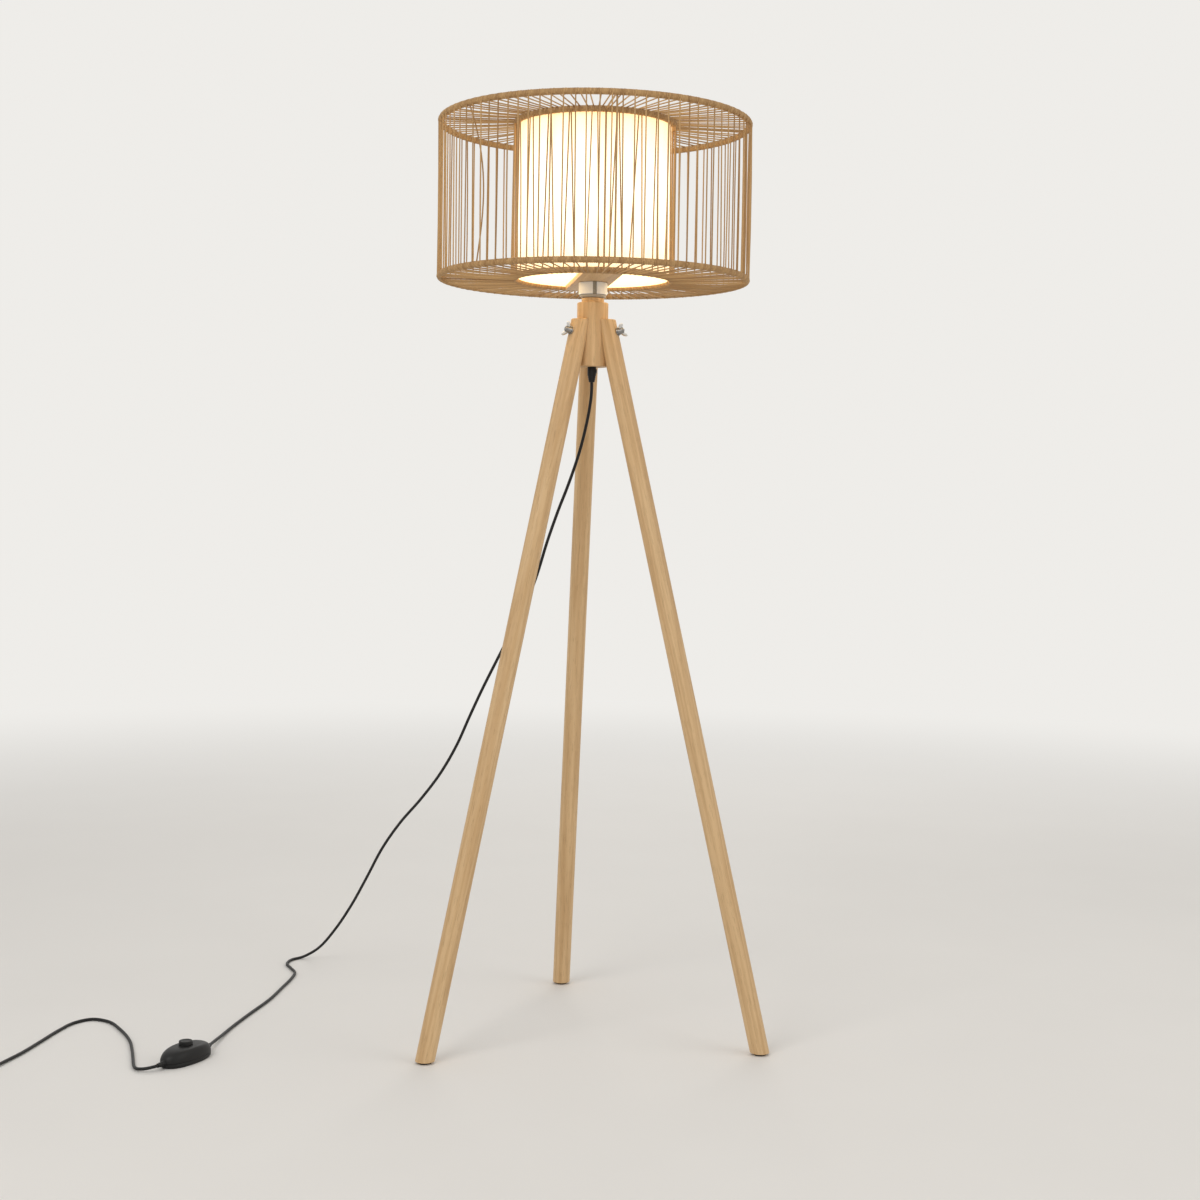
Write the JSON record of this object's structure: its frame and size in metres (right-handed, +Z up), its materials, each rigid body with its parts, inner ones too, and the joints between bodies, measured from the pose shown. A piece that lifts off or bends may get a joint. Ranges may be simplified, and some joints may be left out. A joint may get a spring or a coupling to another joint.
{
  "type": "rattan floor lamp",
  "caption": "Tripod floor lamp: three round wooden legs on a turned hub, a drum shade strung with rattan cord round a fabric diffuser, and a mains lead with a foot switch",
  "frame": {"origin": "on the floor, under the centre of the lamp's box without its free lead", "axes": "+Z up; the rear leg stands towards +Y, and the hub's axis is 34.1 mm in front of the origin"},
  "size_m": [1.2679, 0.7967, 1.4698],
  "materials": {
    "wood": "light oiled hardwood with fine straight grain",
    "foot_rubber": "matt dark grey glide",
    "steel": "bright zinc plating",
    "white_plastic": "white moulded plastic, slight gloss",
    "brass": "rolled thread sleeve",
    "opal_glass": "opal envelope, lit warm white",
    "bulb_metal": "screw cap of the bulb",
    "frame_steel": "wire lacquered the colour of the cord",
    "rattan": "natural rattan cord, satin, with tone changes from strand to strand",
    "diffuser_fabric": "fine linen weave on translucent film, lit from inside",
    "black_plastic": "black moulded plastic, satin",
    "lead_sheath": "black sheath, satin"
  },
  "bodies": {
    "base": {"hub": "wood", "rear_leg": "wood", "left_leg": "wood", "right_leg": "wood", "rear_foot_pad": "foot_rubber", "left_foot_pad": "foot_rubber", "right_foot_pad": "foot_rubber", "rear_hanger_bolt": "steel", "left_hanger_bolt": "steel", "right_hanger_bolt": "steel", "rear_washer": "steel", "left_washer": "steel", "right_washer": "steel", "nipple": "steel", "nipple_nut": "steel", "holder_cap": "white_plastic", "holder_shell": "white_plastic", "holder_insert": "white_plastic", "thread_sleeve": "brass", "cord_grip": "black_plastic", "grip_screw": "steel", "inner_lead": "lead_sheath", "upper_lead": "lead_sheath", "lower_lead": "lead_sheath", "coil": "lead_sheath", "coil_tie": "black_plastic", "plug_lead": "lead_sheath", "switch_base": "black_plastic", "switch_cover": "black_plastic", "switch_block": "white_plastic", "plug_body": "black_plastic", "left_plug_pin": "steel", "right_plug_pin": "steel"},
    "shade": {"carrier_board": "wood", "rear_board_screw": "steel", "front_board_screw": "steel", "shade_frame": "frame_steel", "side_cords": "rattan", "inner_cords": "rattan", "top_cords": "rattan", "bottom_cords": "rattan", "diffuser": "diffuser_fabric"},
    "upper_ring": {"shade_ring": "white_plastic"},
    "lower_ring": {"support_ring": "white_plastic"},
    "bulb": {"bulb_glass": "opal_glass", "bulb_base": "bulb_metal"},
    "rear_nut": {"rear_wing_nut": "steel"},
    "left_nut": {"left_wing_nut": "steel"},
    "right_nut": {"right_wing_nut": "steel"},
    "button": {"switch_button": "black_plastic"}
  },
  "joints": [
    {"name": "shade_turn", "type": "hinge", "parent": "base", "child": "shade", "pos_m": [0, -0.03464, 1.2194], "axis": [0, 0, 1], "continuous": true},
    {"name": "upper_ring_turn", "type": "hinge", "parent": "base", "child": "upper_ring", "pos_m": [0, -0.03464, 1.2277], "axis": [0, 0, 1], "continuous": true},
    {"name": "lower_ring_turn", "type": "hinge", "parent": "base", "child": "lower_ring", "pos_m": [0, -0.03464, 1.2054], "axis": [0, 0, 1], "continuous": true},
    {"name": "bulb_turn", "type": "hinge", "parent": "base", "child": "bulb", "pos_m": [0, -0.03464, 1.225], "axis": [0, 0, 1], "continuous": true},
    {"name": "rear_nut_turn", "type": "hinge", "parent": "base", "child": "rear_nut", "pos_m": [0, -0.00565, 1.133], "axis": [0, 0.9718, 0.2359], "continuous": true},
    {"name": "left_nut_turn", "type": "hinge", "parent": "base", "child": "left_nut", "pos_m": [-0.0251, -0.04913, 1.133], "axis": [-0.8416, -0.4859, 0.2359], "continuous": true},
    {"name": "right_nut_turn", "type": "hinge", "parent": "base", "child": "right_nut", "pos_m": [0.0251, -0.04913, 1.133], "axis": [0.8416, -0.4859, 0.2359], "continuous": true},
    {"name": "button_press", "type": "slide", "parent": "base", "child": "button", "axis": [0, 0, 1], "range_m": [-0.003, 0], "stiffness_N_per_m": 500, "springref_m": 0.002}
  ]
}
